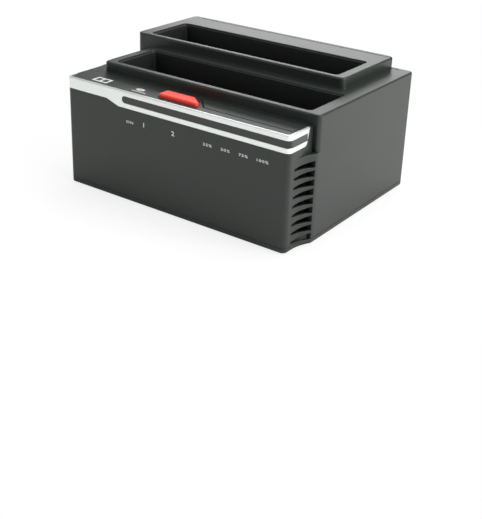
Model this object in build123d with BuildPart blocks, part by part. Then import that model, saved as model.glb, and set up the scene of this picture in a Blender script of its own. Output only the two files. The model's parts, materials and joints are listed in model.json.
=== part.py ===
from build123d import *
import os
from math import cos, radians, sin, sqrt

os.makedirs("parts", exist_ok=True)

# Docking station with two bays for 3.5 inch drives, in millimetres.
# +Z is up, the front faces -Y, and the origin is on the ground under the centre of the body.

# The drive that each bay takes
drive_width = 101.6
drive_thickness = 26.1
drive_side_play = 0.4
drive_face_play = 0.25

# Bays and the liners under them
guide_rib = 2.3
guide_rib_width = 2.4
guide_rib_drop = 7.0
ledge_side = 1.1
ledge_face = 0.8
ledge_drop = 0.8
mouth_radius = 2.2
bay_radius = 1.4
liner_wall = 1.4
liner_floor = 1.6
liner_floor_height = 10.8
liner_boss_length = 8.0
liner_boss_radius = 3.0
ear_width = 7.0
ear_reach = 6.2
ear_thickness = 2.0
ear_spread = 38.0

# Body: widths from left to right, depths from front to back
left_ledge = 11.5
collar_side_rim = 4.4
outer_rim = 6.5
tier_side_rim = 5.1
deck_depth = 17.4
collar_front_rim = 3.3
land = 5.3
tier_front_rim = 2.9
rear_depth = 16.9
block_inset_left = 4.3
block_inset_right = 3.0
flare_start = 5.5
flare_length = 10.7
flare_end_radius = 2.8
left_flare_start = 20.9
left_flare_length = 13.7

# Body: heights above the underside of the base
deck_height = 52.8
collar_step = 4.8
tier_step = 5.2
vent_top = 41.4
foot_stand = 0.6
floor_thickness = 2.1

# Walls and edges
wall = 1.8
deck_thickness = 2.0
front_radius = 2.4
back_radius = 2.6
collar_radius = 2.5
step_radius = 2.0
tier_radius = 3.0
top_round = 0.8
deck_round = 0.6
rim_round = 0.35
seam_gap = 0.3
seam_chamfer = 0.5
overrun = 3.0

# Lips inside the seams
lap_depth = 1.6
lap_thickness = 1.1
lap_gap = 0.1
lap_root = 1.0
lap_end_gap = 3.0

# Front bezel, trim band and indicator strip
flange_long = 14.2
flange_short = 5.2
flange_cut_left = 72.5
flange_cut_run = 8.0
side_seam = 5.4
trim_thickness = 1.2
trim_short = 5.4
trim_long = 7.8
trim_cut_left = 29.1
trim_cut_run = 7.2
trim_side_length = 15.0
trim_side_slant = 2.0
trim_end_radius = 2.4
trim_left_length = 6.0
strip_height = 3.3
strip_below_deck = 2.3
strip_left = 38.4
strip_side_length = 13.6
strip_recess = 0.2
vent_count = 9
vent_pitch = 4.16
vent_low = 3.5
vent_front = 4.6
vent_back_stop = 1.2
vent_tall = 3.0
vent_short = 0.9
bezel_boss_side = 42.0
bezel_boss_setback = 6.2
bezel_boss_radius = 3.0
bezel_boss_height = 12.0
bezel_web = 2.0

# Red copy button and its push switch
button_left = 55.9
button_length = 21.6
button_front = 4.2
button_depth = 7.0
button_cut_run = 6.0
button_cut_depth = 5.0
button_stand = 1.5
button_gap = 0.25
button_wall = 1.2
button_corner = 1.0
button_edge = 0.8
button_travel = 0.6
hook_reach = 0.7
hook_height = 0.9
hook_gap = 0.05
hook_length = 4.0
hook_spread = 5.0
stem_radius = 2.2
switch_size = 6.0
switch_height = 3.5
switch_clearance = 0.3
plunger_radius = 1.75
plunger_gap = 0.1
plunger_stand = 1.0
plunger_inside = 1.2

# Indicator board and lamps, with the places of the lamps as shares of the strip's length
lamp_radius = 1.0
lamp_length = 3.0
lamp_rim = 0.25
lamp_rim_length = 0.6
lamp_hole_gap = 0.1
lamp_tip_gap = 0.2
lamp_wire = 0.4
lamp_wire_pitch = 1.3
lamp_wire_run = 0.8
lamp_shares = (0.051, 0.19, 0.363, 0.539, 0.643, 0.748, 0.856)
board_thickness = 1.6
front_board_drop = 8.8
front_board_left = 35.3
front_board_right = 13.7
front_board_front = 2.7
front_board_depth = 14.7
front_boss_radius = 2.2
front_boss_left_setback = 10.1
front_boss_right_setback = 5.0

# Rear cover, connector panel and port plate
cover_seam_left = 6.9
cover_seam_right = 7.5
cover_depth = 3.2
panel_low = 5.1
panel_high = 25.7
panel_thickness = 2.2
plate_left = 14.4
plate_right = 13.1
plate_thickness = 0.8
port_gap = 0.15

# Main board
board_top_height = 8.7
board_left = 13.8
board_right = 14.6
board_front = 9.4
board_back = 3.0
standoff_radius = 3.0
standoff_inset = 4.0

# Screws
screw_radius = 1.1
screw_gap = 0.05
screw_head_radius = 2.0
screw_head_height = 1.5
screw_length = 6.0
case_screw_length = 9.0
case_head_radius = 2.6
case_head_gap = 0.2
case_head_sink = 3.0
drive_slot_width = 0.6
drive_slot_length = 2.4
drive_slot_depth = 0.7

# Posts that hold the casing to the base tray
post_radius = 3.0
post_side = 6.3
post_back = 7.6
post_front_left = 10.5
post_front_left_back = 23.1
post_front_right = 10.1
post_front_right_back = 12.2
tray_boss_radius = 4.0
tray_boss_height = 3.2

# Feet
foot_radius = 5.5
foot_thickness = 1.4
foot_side = 20.0
foot_front = 10.5
foot_back = 10.5
foot_edge = 0.3

# Base tray
tray_rim_height = 2.4
tray_rim_thickness = 1.1
tray_rim_gap = 0.15
tray_edge = 0.4
tray_slot_count = 7
tray_slot_pitch = 6.0
tray_slot_width = 2.0
tray_slot_length = 24.0

# Power switch (each place on the rear is measured to the right of the body's middle)
frame_width = 10.0
frame_height = 15.8
frame_stand = 1.2
frame_edge = 0.5
power_x = 30.9
power_height = 15.6
switch_body_width = 9.0
switch_body_height = 13.8
switch_body_depth = 9.6
window_width = 7.5
window_height = 12.8
switch_back_wall = 1.2
snap_length = 4.0
snap_reach = 0.6
snap_depth = 1.2
snap_gap = 0.1
rocker_width = 7.3
rocker_radius = 6.2
rocker_crown = 2.6
rocker_valley = 1.9
rocker_setback = 2.4
rocker_tilt = 11.0
rocker_back = 1.6
rocker_stem = 2.0
rocker_stem_length = 2.2
pivot_radius = 0.9
pivot_length = 0.6
pivot_gap = 0.06
terminal_width = 3.2
terminal_thickness = 0.8
terminal_length = 3.2
terminal_pitch = 5.0
terminal_inside = 0.8
lead_radius = 0.6
lead_run = 1.5
lead_spread = 1.0

# Low voltage power jack
jack_width = 9.2
jack_height = 11.5
jack_depth = 14.0
jack_x = 12.3
jack_bore_radius = 2.95
jack_bore_drop = 4.1
jack_bore_depth = 10.0
jack_pin_radius = 1.0
jack_pin_length = 9.4
jack_leaf_thickness = 0.35
jack_leaf_width = 2.4
jack_leaf_length = 7.0
jack_leaf_sink = 0.1

# Square data receptacle
data_width = 12.1
data_height = 11.2
data_depth = 15.6
data_x = -6.8
data_sheet = 0.4
data_mouth_width = 9.6
data_mouth_height = 8.7
data_mouth_cut = 2.1
data_mouth_depth = 9.0
data_tongue_width = 5.7
data_tongue_height = 3.3
data_tongue_lift = 0.8
data_tongue_setback = 1.0
data_contact_width = 1.0
data_contact_thickness = 0.2
data_contact_pitch = 2.5
data_contact_length = 6.5
data_window = 1.2
data_window_length = 3.0
data_window_setback = 2.0

# Flat receptacle for an outside drive
link_x = -30.2
link_height = 12.1
link_mouth_width = 18.9
link_mouth_height = 5.2
link_depth = 11.0
link_sheet = 0.35
link_lip = 1.3
link_lip_width = 16.4
link_tab = 1.0
link_tab_width = 2.6
link_tab_spread = 5.0
link_ear = 1.2
link_ear_height = 3.6
link_gap = 0.4
link_setback = 0.5
link_core_depth = 3.0
link_base_width = 16.0
link_base_depth = 6.0
link_tongue_width = 12.0
link_tongue_height = 1.3
link_tongue_length = 7.0
link_contact_count = 7
link_contact_pitch = 1.27
link_contact_width = 0.5
link_contact_thickness = 0.15
link_contact_length = 6.0

# Drive receptacles on the main board
socket_length = 39.0
socket_depth = 5.4
socket_height = 8.4
socket_shift = 20.0
socket_setback = 6.0
socket_slot_width = 1.9
socket_slot_depth = 5.6
signal_slot = 11.4
power_slot = 21.6
slot_bridge = 2.4
slot_key = 1.2
socket_window_gap = 0.3
contact_pitch = 1.27
contact_width = 0.5
contact_thickness = 0.2
contact_length = 5.0
signal_contacts = 7
power_contacts = 15

# Parts on the main board
chip_size = 8.0
chip_thickness = 1.4
chip_lift = 0.2
chip_edge = 0.2
chip_setback = 5.6
bridge_chip_place = 46.0
copy_chip_place = 68.0
lead_count = 6
lead_pitch = 1.1
lead_width = 0.4
lead_reach = 0.9
lead_thickness = 0.4
can_radius = 3.0
can_height = 5.0
can_base = 0.8
can_edge = 0.3
can_place = 30.0
can_pitch = 8.0
can_count = 3
coil_size = 5.6
coil_height = 3.0
coil_edge = 0.4
coil_place = 70.0
coil_pitch = 9.0
coil_count = 2
crystal_length = 11.0
crystal_width = 4.6
crystal_height = 3.4
crystal_edge = 0.4
crystal_place = 98.0

# Ribbon between the boards
ribbon_place = 85.5
ribbon_setback = 14.4
ribbon_width = 9.0
ribbon_thickness = 0.3
ribbon_socket_length = 12.0
ribbon_socket_depth = 4.0
ribbon_socket_height = 3.0
ribbon_entry = 1.6

# Rocker, worked out about its pivot
end_rise = sqrt(rocker_radius**2 - rocker_crown**2)
back_rise = sqrt(rocker_radius**2 - rocker_back**2)
rocker_stand = (
    rocker_crown * cos(radians(rocker_tilt)) + end_rise * sin(radians(rocker_tilt)) - rocker_setback
)

# Body, worked out from the sizes above
bay_width = drive_width + 2 * (guide_rib + drive_side_play)
bay_depth = drive_thickness + 2 * drive_face_play
mouth_width = bay_width + 2 * ledge_side
mouth_depth = bay_depth + 2 * ledge_face
body_width = left_ledge + collar_side_rim + mouth_width + outer_rim
body_depth = deck_depth + collar_front_rim + mouth_depth + land + tier_front_rim + mouth_depth + rear_depth
switch_stand = frame_stand + rocker_stand
left_x = -body_width / 2
right_x = body_width / 2
front_y = -(body_depth + switch_stand) / 2
back_y = front_y + body_depth
base_z = foot_stand
floor_z = base_z + floor_thickness
deck_z = base_z + deck_height
collar_z = deck_z + collar_step
tier_z = collar_z + tier_step
vent_top_z = base_z + vent_top
block_left_x = left_x + block_inset_left
block_right_x = right_x - block_inset_right
flare_start_y = front_y + flare_start
flare_end_y = flare_start_y + flare_length
step_y = front_y + deck_depth
left_flare_start_y = front_y + left_flare_start
left_flare_end_y = left_flare_start_y + left_flare_length
collar_left_x = left_x + left_ledge
front_bay_x = collar_left_x + collar_side_rim + mouth_width / 2
front_bay_y = step_y + collar_front_rim + mouth_depth / 2
tier_front_y = front_bay_y + mouth_depth / 2 + land
rear_bay_x = left_x + outer_rim + mouth_width / 2
rear_bay_y = tier_front_y + tier_front_rim + mouth_depth / 2
tier_right_x = rear_bay_x + mouth_width / 2 + tier_side_rim
side_seam_x = right_x - side_seam
half_seam = seam_gap / 2
under_deck_z = deck_z - deck_thickness
under_collar_z = collar_z - deck_thickness
under_tier_z = tier_z - deck_thickness
casing_low_z = floor_z + half_seam
bays = (
    ("front", front_bay_x, front_bay_y, collar_z),
    ("rear", rear_bay_x, rear_bay_y, tier_z),
)

# Bezel, band and strip
flange_long_y = front_y + flange_long
flange_short_y = front_y + flange_short
flange_cut_x = left_x + flange_cut_left
trim_short_z = deck_z - trim_short
trim_long_z = deck_z - trim_long
trim_cut_x = left_x + trim_cut_left
trim_back_y = front_y + trim_side_length
strip_high_z = deck_z - strip_below_deck
strip_z = strip_high_z - strip_height / 2
strip_left_x = left_x + strip_left
strip_back_y = front_y + strip_side_length

# Button, push switch and indicator board
button_left_x = left_x + button_left
button_right_x = button_left_x + button_length
button_front_y = front_y + button_front
button_back_y = button_front_y + button_depth
button_x = (button_left_x + button_right_x) / 2
button_top_z = deck_z + button_stand
front_board_top_z = deck_z - front_board_drop
front_board_low_z = front_board_top_z - board_thickness
push_top_z = front_board_top_z + switch_height
plunger_top_z = push_top_z + plunger_stand
lamp_tip_y = front_y + trim_thickness + lamp_tip_gap
lamp_back_y = lamp_tip_y + lamp_length
wire_back_y = lamp_back_y + lamp_wire_run
push_y = wire_back_y + switch_clearance + switch_size / 2
lamp_places = [strip_left_x + share * (block_right_x - strip_left_x) for share in lamp_shares]
front_boss_places = (
    ((lamp_places[0] + lamp_places[1]) / 2, front_y + front_boss_left_setback),
    ((lamp_places[4] + lamp_places[5]) / 2, front_y + front_boss_right_setback),
)

# Rear pieces
panel_low_z = base_z + panel_low
panel_high_z = base_z + panel_high
cover_left_x = left_x + cover_seam_left
cover_right_x = right_x - cover_seam_right
cover_front_y = back_y - cover_depth
power_z = base_z + power_height
frame_face_y = back_y + frame_stand
pivot_y = frame_face_y - rocker_setback
switch_back_y = frame_face_y - switch_body_depth
terminal_end_y = switch_back_y - terminal_length
plate_left_x = link_x - plate_left
plate_right_x = power_x + plate_right
link_z = base_z + link_height

# Boards and what stands on them
board_top_z = base_z + board_top_height
board_low_z = board_top_z - board_thickness
board_left_x = left_x + board_left
board_right_x = right_x - board_right
board_front_y = front_y + board_front
board_back_y = back_y - board_back
mid_y = (front_bay_y + rear_bay_y) / 2
liner_low_z = base_z + liner_floor_height
liner_top_z = liner_low_z + liner_floor
ear_z = under_collar_z - liner_boss_length
chip_y = board_front_y + chip_setback
ribbon_x = left_x + ribbon_place
ribbon_y = front_y + ribbon_setback
data_z = board_top_z + data_height / 2
jack_top_z = board_top_z + jack_height
jack_bore_z = jack_top_z - jack_bore_drop

# Screws, posts and feet
pilot_radius = screw_radius + screw_gap
case_seat_z = base_z + case_head_sink
post_low_z = floor_z + tray_boss_height
case_posts = (
    (left_x + post_front_left, front_y + post_front_left_back, under_deck_z),
    (right_x - post_front_right, front_y + post_front_right_back, under_deck_z),
    (left_x + post_side, back_y - post_back, under_tier_z),
    (right_x - post_side, back_y - post_back, under_collar_z),
)
bezel_posts = (
    (left_x + bezel_boss_side, front_y + bezel_boss_setback),
    (right_x - bezel_boss_side, front_y + bezel_boss_setback),
)
standoffs = (
    (board_left_x + standoff_inset, board_front_y + standoff_inset),
    (board_right_x - standoff_inset, board_front_y + standoff_inset),
    (board_left_x + standoff_inset, rear_bay_y - bay_depth / 4),
    (board_right_x - standoff_inset, rear_bay_y - bay_depth / 4),
)
feet = (
    (left_x + foot_side, front_y + foot_front),
    (right_x - foot_side, front_y + foot_front),
    (left_x + foot_side, back_y - foot_back),
    (right_x - foot_side, back_y - foot_back),
)


def block(low, high, mode=Mode.ADD):
    """A box between two opposite corners."""
    with Locations(low):
        Box(high[0] - low[0], high[1] - low[1], high[2] - low[2], align=(Align.MIN,) * 3, mode=mode)


def post(x, y, low, high, radius, mode=Mode.ADD):
    """An upright cylinder between two heights."""
    with Locations((x, y, low)):
        Cylinder(radius, high - low, align=(Align.CENTER, Align.CENTER, Align.MIN), mode=mode)


def rod(x, z, front, back, radius, mode=Mode.ADD):
    """A cylinder that lies front to back at a place in the front view."""
    with Locations(Plane(origin=(x, front, z), z_dir=(0, 1, 0))):
        Cylinder(radius, back - front, align=(Align.CENTER, Align.CENTER, Align.MIN), mode=mode)


def screw(x, y, seat, way, length, head_radius):
    """A screw whose head sits at a height and whose shank goes up (1) or down (-1)."""
    tip = seat + way * length
    crown = seat - way * screw_head_height
    floor = crown + way * drive_slot_depth
    half_length = drive_slot_length / 2
    half_width = drive_slot_width / 2
    post(x, y, min(seat, tip), max(seat, tip), screw_radius)
    post(x, y, min(seat, crown), max(seat, crown), head_radius)
    low, high = min(crown, floor), max(crown, floor)
    block((x - half_length, y - half_width, low), (x + half_length, y + half_width, high), Mode.SUBTRACT)
    block((x - half_width, y - half_length, low), (x + half_width, y + half_length, high), Mode.SUBTRACT)


def save(piece, name):
    """Label a finished piece and write it to its own file."""
    piece.part.label = name
    export_step(piece.part, f"parts/{name}.step")


def corner(outline, x, y):
    """The corner of a sketch nearest to a place."""
    height = outline.sketch.center().Z
    return outline.vertices().sort_by_distance((x, y, height))[0]


# Outlines of the body in plan, moved inward by an inset
def body_outline(inset):
    with BuildSketch(Plane.XY.offset(base_z)) as outline:
        with BuildLine():
            Polyline(
                (block_left_x + inset, left_flare_start_y),
                (block_left_x + inset, front_y + inset),
                (block_right_x - inset, front_y + inset),
                (block_right_x - inset, flare_start_y),
            )
            TangentArc(
                (block_right_x - inset, flare_start_y), (right_x - inset, flare_end_y), tangent=(0, 1)
            )
            Polyline(
                (right_x - inset, flare_end_y),
                (right_x - inset, back_y - inset),
                (left_x + inset, back_y - inset),
                (left_x + inset, left_flare_end_y),
            )
            TangentArc(
                (block_left_x + inset, left_flare_start_y), (left_x + inset, left_flare_end_y), tangent=(0, 1)
            )
        make_face()
        if inset < flare_end_radius:
            fillet(corner(outline, right_x - inset, flare_end_y), flare_end_radius - inset)
        if inset < front_radius:
            fillet(outline.vertices().group_by(Axis.Y)[0], front_radius - inset)
        if inset < back_radius:
            fillet(outline.vertices().group_by(Axis.Y)[-1], back_radius - inset)
    return outline.sketch


def block_outline(inset):
    with BuildSketch(Plane.XY.offset(base_z)) as outline:
        width = block_right_x - block_left_x - 2 * inset
        depth = deck_depth + wall - inset
        with Locations((block_left_x + inset, front_y + inset)):
            Rectangle(width, depth, align=(Align.MIN, Align.MIN))
        if inset < front_radius:
            fillet(outline.vertices().group_by(Axis.Y)[0], front_radius - inset)
    return outline.sketch


def collar_outline(inset):
    with BuildSketch(Plane.XY.offset(under_deck_z)) as outline:
        width = right_x - collar_left_x - 2 * inset
        depth = back_y - step_y - 2 * inset
        with Locations((collar_left_x + inset, step_y + inset)):
            Rectangle(width, depth, align=(Align.MIN, Align.MIN))
        if inset < collar_radius:
            fillet(corner(outline, collar_left_x, step_y), collar_radius - inset)
        if inset < step_radius:
            fillet(corner(outline, right_x, step_y), step_radius - inset)
        if inset < back_radius:
            fillet(corner(outline, right_x, back_y), back_radius - inset)
    return outline.sketch


def tier_outline(inset):
    with BuildSketch(Plane.XY.offset(under_deck_z)) as outline:
        width = tier_right_x - left_x - 2 * inset
        depth = back_y - tier_front_y - 2 * inset
        with Locations((left_x + inset, tier_front_y + inset)):
            Rectangle(width, depth, align=(Align.MIN, Align.MIN))
        if inset < back_radius:
            fillet(corner(outline, left_x, back_y), back_radius - inset)
        if inset < tier_radius:
            fillet(corner(outline, left_x, tier_front_y), tier_radius - inset)
            fillet(corner(outline, tier_right_x, back_y), tier_radius - inset)
            fillet(corner(outline, tier_right_x, tier_front_y), tier_radius - inset)
    return outline.sketch


def level_edges(form, level, x_range, y_range):
    """The level edges of a form at a height, with their middles in a range."""
    edges = form.edges().filter_by_position(Axis.Z, level - seam_gap, level + seam_gap)
    return edges.filter_by_position(Axis.X, *x_range).filter_by_position(Axis.Y, *y_range)


# Outside of the whole body, from which every casing piece takes its outer faces
with BuildPart() as collar_form:
    extrude(collar_outline(0), amount=collar_z - under_deck_z)
    fillet(collar_form.faces().sort_by(Axis.Z)[-1].edges(), top_round)

with BuildPart() as tier_form:
    extrude(tier_outline(0), amount=tier_z - under_deck_z)
    fillet(tier_form.faces().sort_by(Axis.Z)[-1].edges(), top_round)

with BuildPart() as outer_form:
    extrude(body_outline(0), amount=deck_z - base_z)
    block(
        (side_seam_x, front_y - overrun, vent_top_z),
        (right_x + overrun, step_y, deck_z + overrun),
        Mode.SUBTRACT,
    )
    upright = outer_form.edges().filter_by(Axis.Z).sort_by_distance((right_x, step_y, deck_z))[0]
    fillet(upright, step_radius)
    extrude(block_outline(0), amount=deck_z - base_z)
    add(collar_form.part)
    add(tier_form.part)
    front_rim = level_edges(outer_form, deck_z, (left_x, right_x), (front_y - overrun, step_y - wall))
    left_range = (step_y, tier_front_y - wall)
    left_rim = level_edges(outer_form, deck_z, (left_x - overrun, block_left_x + wall), left_range)
    fillet(front_rim + left_rim, deck_round)

# Hollow inside the casing
with BuildPart() as cavity:
    extrude(body_outline(wall), amount=under_deck_z - base_z)
    block(
        (side_seam_x - wall, front_y, vent_top_z - wall),
        (right_x, step_y + wall, deck_z),
        Mode.SUBTRACT,
    )
    extrude(block_outline(wall), amount=under_deck_z - base_z)
    extrude(collar_outline(wall), amount=under_collar_z - under_deck_z)
    extrude(tier_outline(wall), amount=under_tier_z - under_deck_z)

with BuildPart() as shell:
    add(outer_form.part)
    add(cavity.part, mode=Mode.SUBTRACT)

# Skins that follow the inside of the walls, for the lips behind the seams
lap_inset = wall + lap_gap
with BuildPart() as root_skin:
    extrude(body_outline(wall / 2), amount=under_deck_z - base_z)
    extrude(body_outline(lap_inset + lap_thickness), amount=under_deck_z - base_z, mode=Mode.SUBTRACT)

with BuildPart() as lap_skin:
    extrude(body_outline(lap_inset), amount=under_deck_z - base_z)
    extrude(body_outline(lap_inset + lap_thickness), amount=under_deck_z - base_z, mode=Mode.SUBTRACT)


def lap(root_low, root_high, reach_low, reach_high):
    """A lip inside a wall, rooted on one piece and reaching behind its neighbour."""
    with BuildPart() as root:
        add(root_skin.part)
        block(root_low, root_high, Mode.INTERSECT)
    with BuildPart() as reach:
        add(lap_skin.part)
        block(reach_low, reach_high, Mode.INTERSECT)
    return root.part + reach.part


def bezel_plan(gap):
    """Plan of the bezel, which ends on the deck at a stepped seam."""
    with BuildSketch(Plane.XY.offset(casing_low_z)) as plan:
        with BuildLine():
            Polyline(
                (left_x - overrun, front_y - overrun),
                (right_x + overrun, front_y - overrun),
                (right_x + overrun, step_y),
                (side_seam_x, step_y),
                (side_seam_x, flange_short_y),
                (flange_cut_x + flange_cut_run, flange_short_y),
                (flange_cut_x, flange_long_y),
                (left_x - overrun, flange_long_y),
                close=True,
            )
        make_face()
        if gap:
            offset(amount=gap, kind=Kind.INTERSECTION)
    return plan.sketch


def rounded_opening(x, y, level, width, depth, radius):
    """A rounded rectangle on its own level."""
    with BuildSketch(Plane.XY.offset(level)) as opening:
        with Locations((x, y)):
            RectangleRounded(width, depth, radius)
    return opening.sketch


# Main housing: sides, deck, collar and rear tier
with BuildPart() as main_housing:
    add(shell.part)
    block(
        (left_x - overrun, front_y - overrun, base_z - overrun),
        (right_x + overrun, back_y + overrun, casing_low_z),
        Mode.SUBTRACT,
    )
    extrude(bezel_plan(half_seam), amount=tier_z, mode=Mode.SUBTRACT)
    seam_across = (0, side_seam_x - wall)
    seam_along = (flange_short_y, flange_long_y + seam_gap)
    chamfer(level_edges(main_housing, deck_z, seam_across, seam_along), seam_chamfer)
    block(
        (cover_left_x - half_seam, cover_front_y - half_seam, base_z),
        (cover_right_x + half_seam, back_y + overrun, tier_z + overrun),
        Mode.SUBTRACT,
    )
    for name, x, y, top in bays:
        ear_y = y + bay_depth / 2 + liner_wall + ear_reach / 2
        for side in (-1, 1):
            post(x + side * ear_spread, ear_y, ear_z, top - deck_thickness, liner_boss_radius)
    for x, y, top in case_posts:
        post(x, y, post_low_z, top, post_radius)
    for name, x, y, top in bays:
        step = rounded_opening(x, y, top - ledge_drop, mouth_width, mouth_depth, mouth_radius)
        extrude(step, amount=ledge_drop + overrun, mode=Mode.SUBTRACT)
        mouth = rounded_opening(x, y, top - deck_thickness, bay_width, bay_depth, bay_radius)
        extrude(mouth, amount=deck_thickness, mode=Mode.SUBTRACT)
        ear_y = y + bay_depth / 2 + liner_wall + ear_reach / 2
        for side in (-1, 1):
            post(x + side * ear_spread, ear_y, ear_z, ear_z + screw_length, pilot_radius, Mode.SUBTRACT)
        across = (x - mouth_width / 2 - rim_round, x + mouth_width / 2 + rim_round)
        along = (y - mouth_depth / 2 - rim_round, y + mouth_depth / 2 + rim_round)
        fillet(level_edges(main_housing, top, across, along), rim_round)
    for x, y, top in case_posts:
        post(x, y, post_low_z, case_seat_z + case_screw_length, pilot_radius, Mode.SUBTRACT)
save(main_housing, "main_housing")

# Place of the trim band in the front wall
with BuildPart() as trim_space:
    extrude(block_outline(0), amount=deck_z - base_z)
    extrude(block_outline(trim_thickness), amount=deck_z - base_z, mode=Mode.SUBTRACT)
    with BuildSketch(Plane.XZ.offset(-trim_back_y)) as front_profile:
        Polygon(
            (left_x, deck_z),
            (left_x, trim_short_z),
            (trim_cut_x, trim_short_z),
            (trim_cut_x + trim_cut_run, trim_long_z),
            (right_x, trim_long_z),
            (right_x, deck_z),
            align=None,
        )
    extrude(front_profile.sketch, amount=trim_side_length + overrun, mode=Mode.INTERSECT)
    with BuildSketch(Plane.YZ.offset(left_x)) as side_profile:
        Polygon(
            (front_y - overrun, deck_z),
            (front_y - overrun, trim_long_z),
            (trim_back_y - trim_side_slant, trim_long_z),
            (trim_back_y, deck_z),
            align=None,
        )
        fillet(side_profile.vertices().group_by(Axis.Y)[0].sort_by(Axis.X)[-1], trim_end_radius)
    extrude(side_profile.sketch, amount=body_width, mode=Mode.INTERSECT)
    block(
        (left_x, front_y + trim_left_length, trim_long_z - overrun),
        (0, trim_back_y + overrun, deck_z),
        Mode.SUBTRACT,
    )

with BuildPart() as strip_space:
    end = strip_height / 2
    block(
        (strip_left_x + end, front_y - overrun, strip_z - end),
        (right_x, strip_back_y, strip_high_z),
    )
    rod(strip_left_x + end, strip_z, front_y - overrun, strip_back_y, end)

with BuildPart() as trim_band:
    add(trim_space.part)
    add(outer_form.part, mode=Mode.INTERSECT)
    add(strip_space.part, mode=Mode.SUBTRACT)
save(trim_band, "trim_band")

with BuildPart() as indicator_lens:
    extrude(block_outline(strip_recess), amount=deck_z - base_z)
    extrude(block_outline(trim_thickness), amount=deck_z - base_z, mode=Mode.SUBTRACT)
    add(strip_space.part, mode=Mode.INTERSECT)
save(indicator_lens, "indicator_lens")


def button_outline(level, gap):
    """Plan of the copy button, with its back right corner cut off."""
    with BuildSketch(Plane.XY.offset(level)) as plan:
        Polygon(
            (button_left_x, button_front_y),
            (button_right_x, button_front_y),
            (button_right_x, button_back_y - button_cut_depth),
            (button_right_x - button_cut_run, button_back_y),
            (button_left_x, button_back_y),
            align=None,
        )
        fillet(plan.vertices(), button_corner)
        if gap:
            offset(amount=gap)
    return plan.sketch


# Front bezel, with the vents in its flared corner
with BuildPart() as front_bezel:
    add(shell.part)
    extrude(bezel_plan(0), amount=tier_z, mode=Mode.INTERSECT)
    for x, y in front_boss_places:
        post(x, y, front_board_top_z, under_deck_z, front_boss_radius)
    for x, y in bezel_posts:
        post(x, y, post_low_z, post_low_z + bezel_boss_height, bezel_boss_radius)
        block(
            (x - bezel_web / 2, front_y + wall / 2, post_low_z),
            (x + bezel_web / 2, y, post_low_z + bezel_boss_height),
        )
    add(trim_space.part, mode=Mode.SUBTRACT)
    for x in lamp_places:
        rod(x, strip_z, front_y, front_y + wall + overrun, lamp_radius + lamp_hole_gap, Mode.SUBTRACT)
    with BuildSketch(Plane.YZ.offset(block_right_x - wall - overrun)) as vents:
        for number in range(vent_count):
            middle = base_z + vent_low + number * vent_pitch
            vent_back_y = step_y - vent_back_stop
            Polygon(
                (front_y + vent_front, middle - vent_short / 2),
                (vent_back_y, middle - vent_tall / 2),
                (vent_back_y, middle + vent_tall / 2),
                (front_y + vent_front, middle + vent_short / 2),
                align=None,
            )
    extrude(vents.sketch, amount=block_inset_right + wall + 2 * overrun, mode=Mode.SUBTRACT)
    hole = button_outline(under_deck_z, button_gap)
    extrude(hole, amount=deck_thickness + overrun, mode=Mode.SUBTRACT)
    lip_high_z = under_deck_z - lap_gap
    lip_low_z = lip_high_z - lap_thickness
    block(
        (block_left_x + wall, flange_long_y - lap_root, lip_low_z),
        (flange_cut_x - lap_root, flange_long_y, under_deck_z),
    )
    block(
        (block_left_x + wall + lap_gap, flange_long_y - lap_root, lip_low_z),
        (flange_cut_x - lap_root, flange_long_y + lap_depth, lip_high_z),
    )
    lap_low_z = post_low_z
    left_root = (left_x, flange_long_y - lap_root, lap_low_z)
    left_top_z = lip_low_z - lap_gap
    add(
        lap(
            left_root,
            (0, flange_long_y, left_top_z),
            left_root,
            (0, flange_long_y + lap_depth, left_top_z),
        )
    )
    right_root = (0, step_y - lap_root, lap_low_z)
    right_top_z = vent_top_z - wall - lap_gap
    add(
        lap(
            right_root,
            (right_x, step_y, right_top_z),
            right_root,
            (right_x, step_y + lap_depth, right_top_z),
        )
    )
    for x, y in front_boss_places:
        pilot_top_z = front_board_low_z + screw_length
        post(x, y, front_board_top_z, pilot_top_z, pilot_radius, Mode.SUBTRACT)
    for x, y in bezel_posts:
        post(x, y, post_low_z, case_seat_z + case_screw_length, pilot_radius, Mode.SUBTRACT)
save(front_bezel, "front_bezel")

# Rear cover between the two upright seams
with BuildPart() as rear_cover:
    add(shell.part)
    block(
        (cover_left_x + half_seam, cover_front_y + half_seam, panel_high_z + half_seam),
        (cover_right_x - half_seam, back_y + overrun, tier_z + overrun),
        Mode.INTERSECT,
    )
    lip_low_z = panel_high_z + lap_end_gap
    lip_top_z = under_deck_z - lap_gap
    lip_front_y = back_y - lap_inset - lap_thickness
    left_lip = (cover_left_x - lap_depth, lip_front_y, lip_low_z)
    right_lip = (cover_right_x - half_seam - lap_root, lip_front_y, lip_low_z)
    add(
        lap(
            (cover_left_x + half_seam, lip_front_y, lip_low_z),
            (cover_left_x + half_seam + lap_root, back_y, lip_top_z),
            left_lip,
            (cover_left_x + half_seam + lap_root, back_y, lip_top_z),
        )
    )
    add(
        lap(
            right_lip,
            (cover_right_x - half_seam, back_y, lip_top_z),
            right_lip,
            (cover_right_x + lap_depth, back_y, lip_top_z),
        )
    )
save(rear_cover, "rear_cover")


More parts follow.
